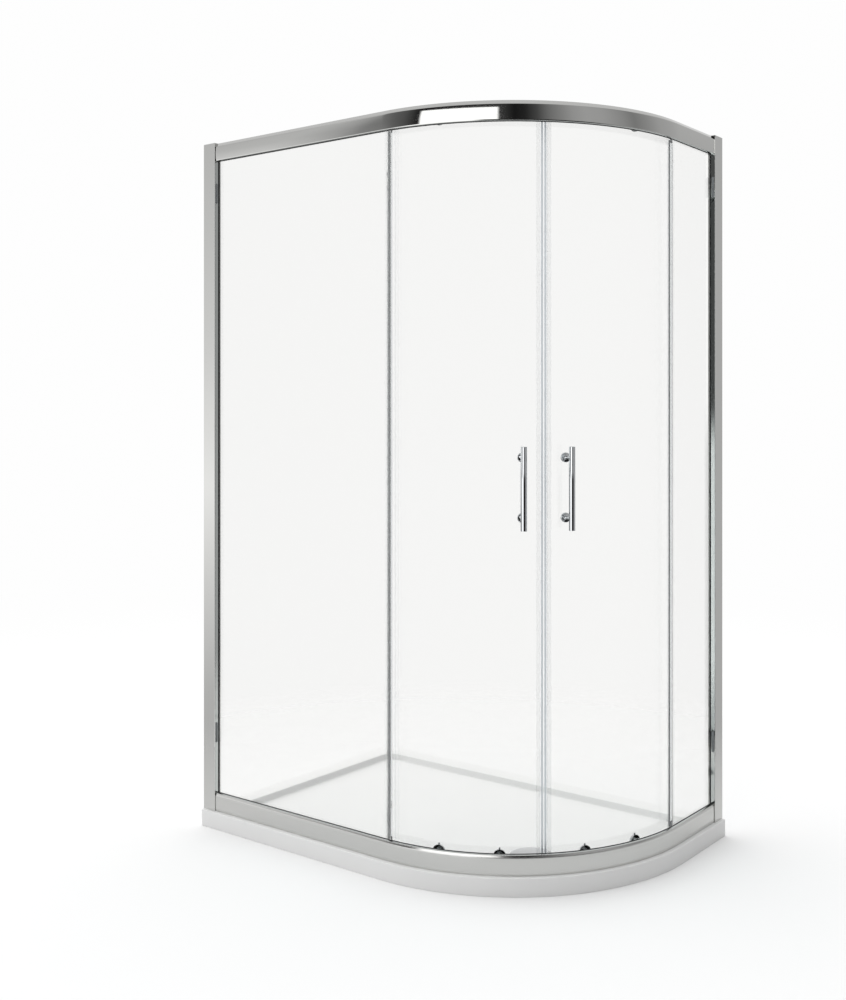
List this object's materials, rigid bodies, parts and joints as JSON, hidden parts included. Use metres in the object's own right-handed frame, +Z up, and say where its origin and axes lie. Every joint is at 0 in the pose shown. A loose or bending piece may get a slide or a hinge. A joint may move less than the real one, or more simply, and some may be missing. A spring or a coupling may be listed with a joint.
{
  "type": "offset quadrant shower enclosure",
  "caption": "Offset quadrant shower enclosure on its tray: curved sliding glass doors, fixed panes, bright rails and wall posts.",
  "frame": {"origin": "on the floor under the centre of the tray's rectangle", "axes": "+Z up, X along the long side and Y along the short side; the room's walls stand at -X and +Y, and the quarter round faces +X and -Y"},
  "size_m": [1.2, 0.8, 1.895],
  "materials": {
    "tray_white": "polished stone-resin gel coat",
    "bright_aluminium": "polished and bright plated extrusion",
    "chrome": "polished chrome plate",
    "safety_glass": "toughened clear glass",
    "clear_seal": "clear soft vinyl",
    "black_rubber": "moulded rubber",
    "wheel_nylon": "moulded nylon",
    "magnet": "magnet-filled vinyl strip",
    "clear_washer": "clear moulded washer",
    "block": "hard plastic",
    "cover_grey": "moulded cover",
    "steel": "stainless steel",
    "button_grey": "moulded button"
  },
  "bodies": {
    "enclosure": {"shower_tray": "tray_white", "waste_flange": "chrome", "waste_seal": "black_rubber", "profile_caps": "bright_aluminium", "header_rail": "bright_aluminium", "sill_rail": "bright_aluminium", "jamb_gaskets": "black_rubber", "rail_gaskets": "black_rubber", "setting_blocks": "block", "frame_screws": "steel", "adjuster_covers": "cover_grey", "header_stops": "black_rubber", "wall_profile_left": "bright_aluminium", "jamb_left": "bright_aluminium", "fixed_pane_left": "safety_glass", "edge_seal_left": "clear_seal", "wall_profile_right": "bright_aluminium", "jamb_right": "bright_aluminium", "fixed_pane_right": "safety_glass", "edge_seal_right": "clear_seal"},
    "left_door": {"door_glass_left": "safety_glass", "magnet_seal_left": "clear_seal", "magnet_strip_left": "magnet", "trailing_seal_left": "clear_seal", "bottom_seal_left": "clear_seal", "handle_bar_left": "chrome", "handle_posts_left": "chrome", "handle_nuts_left": "chrome", "handle_washers_left": "clear_washer", "top_roller_caps_left": "chrome", "roller_housings_left": "chrome", "roller_axles_left": "steel", "release_springs_left": "steel"},
    "bottom_wheel_left_leading": {"bottom_wheel_left_leading": "wheel_nylon"},
    "top_wheel_left_leading": {"top_wheel_left_leading": "wheel_nylon"},
    "release_button_left_leading": {"release_button_left_leading": "button_grey"},
    "bottom_wheel_left_trailing": {"bottom_wheel_left_trailing": "wheel_nylon"},
    "top_wheel_left_trailing": {"top_wheel_left_trailing": "wheel_nylon"},
    "release_button_left_trailing": {"release_button_left_trailing": "button_grey"},
    "right_door": {"door_glass_right": "safety_glass", "magnet_seal_right": "clear_seal", "magnet_strip_right": "magnet", "trailing_seal_right": "clear_seal", "bottom_seal_right": "clear_seal", "handle_bar_right": "chrome", "handle_posts_right": "chrome", "handle_nuts_right": "chrome", "handle_washers_right": "clear_washer", "top_roller_caps_right": "chrome", "roller_housings_right": "chrome", "roller_axles_right": "steel", "release_springs_right": "steel"},
    "bottom_wheel_right_leading": {"bottom_wheel_right_leading": "wheel_nylon"},
    "top_wheel_right_leading": {"top_wheel_right_leading": "wheel_nylon"},
    "release_button_right_leading": {"release_button_right_leading": "button_grey"},
    "bottom_wheel_right_trailing": {"bottom_wheel_right_trailing": "wheel_nylon"},
    "top_wheel_right_trailing": {"top_wheel_right_trailing": "wheel_nylon"},
    "release_button_right_trailing": {"release_button_right_trailing": "button_grey"},
    "waste_cover": {"waste_cover": "chrome", "hair_basket": "button_grey"}
  },
  "joints": [
    {"name": "left_door_run", "type": "hinge", "parent": "enclosure", "child": "left_door", "pos_m": [0.04353, 0.14863, 0], "axis": [0, 0, -1], "range_deg": [0, 24]},
    {"name": "bottom_wheel_left_leading_spin", "type": "hinge", "parent": "left_door", "child": "bottom_wheel_left_leading", "pos_m": [0.32941, -0.2819, 0.0813], "axis": [0.5432, -0.8396, 0], "continuous": true},
    {"name": "top_wheel_left_leading_spin", "type": "hinge", "parent": "left_door", "child": "top_wheel_left_leading", "pos_m": [0.32941, -0.2819, 1.8643], "axis": [0.5432, -0.8396, 0], "continuous": true},
    {"name": "release_button_left_leading_press", "type": "slide", "parent": "left_door", "child": "release_button_left_leading", "axis": [0, 0, -1], "range_m": [0, 0.003], "stiffness_N_per_m": 300, "springref_m": -0.002},
    {"name": "bottom_wheel_left_trailing_spin", "type": "hinge", "parent": "left_door", "child": "bottom_wheel_left_trailing", "pos_m": [0.1892, -0.34521, 0.0813], "axis": [0.2706, -0.9627, 0], "continuous": true},
    {"name": "top_wheel_left_trailing_spin", "type": "hinge", "parent": "left_door", "child": "top_wheel_left_trailing", "pos_m": [0.1892, -0.34521, 1.8643], "axis": [0.2706, -0.9627, 0], "continuous": true},
    {"name": "release_button_left_trailing_press", "type": "slide", "parent": "left_door", "child": "release_button_left_trailing", "axis": [0, 0, -1], "range_m": [0, 0.003], "stiffness_N_per_m": 300, "springref_m": -0.002},
    {"name": "right_door_run", "type": "hinge", "parent": "enclosure", "child": "right_door", "pos_m": [0.0508, 0.15412, 0], "axis": [0, 0, 1], "range_deg": [0, 22]},
    {"name": "bottom_wheel_right_leading_spin", "type": "hinge", "parent": "right_door", "child": "bottom_wheel_right_leading", "pos_m": [0.4819, -0.12941, 0.0813], "axis": [-0.8396, 0.5432, 0], "continuous": true},
    {"name": "top_wheel_right_leading_spin", "type": "hinge", "parent": "right_door", "child": "top_wheel_right_leading", "pos_m": [0.4819, -0.12941, 1.8643], "axis": [-0.8396, 0.5432, 0], "continuous": true},
    {"name": "release_button_right_leading_press", "type": "slide", "parent": "right_door", "child": "release_button_right_leading", "axis": [0, 0, -1], "range_m": [0, 0.003], "stiffness_N_per_m": 300, "springref_m": -0.002},
    {"name": "bottom_wheel_right_trailing_spin", "type": "hinge", "parent": "right_door", "child": "bottom_wheel_right_trailing", "pos_m": [0.54521, 0.0108, 0.0813], "axis": [-0.9627, 0.2706, 0], "continuous": true},
    {"name": "top_wheel_right_trailing_spin", "type": "hinge", "parent": "right_door", "child": "top_wheel_right_trailing", "pos_m": [0.54521, 0.0108, 1.8643], "axis": [-0.9627, 0.2706, 0], "continuous": true},
    {"name": "release_button_right_trailing_press", "type": "slide", "parent": "right_door", "child": "release_button_right_trailing", "axis": [0, 0, -1], "range_m": [0, 0.003], "stiffness_N_per_m": 300, "springref_m": -0.002},
    {"name": "waste_cover_lift", "type": "slide", "parent": "enclosure", "child": "waste_cover", "axis": [0, 0, 1], "range_m": [0, 0.05]}
  ],
  "couplings": [
    {"joint": "bottom_wheel_left_leading_spin", "follows": "left_door_run", "ratio": 57.156},
    {"joint": "top_wheel_left_leading_spin", "follows": "left_door_run", "ratio": 57.156},
    {"joint": "bottom_wheel_left_trailing_spin", "follows": "left_door_run", "ratio": 57.156},
    {"joint": "top_wheel_left_trailing_spin", "follows": "left_door_run", "ratio": 57.156},
    {"joint": "bottom_wheel_right_leading_spin", "follows": "right_door_run", "ratio": 57.156},
    {"joint": "top_wheel_right_leading_spin", "follows": "right_door_run", "ratio": 57.156},
    {"joint": "bottom_wheel_right_trailing_spin", "follows": "right_door_run", "ratio": 57.156},
    {"joint": "top_wheel_right_trailing_spin", "follows": "right_door_run", "ratio": 57.156}
  ]
}
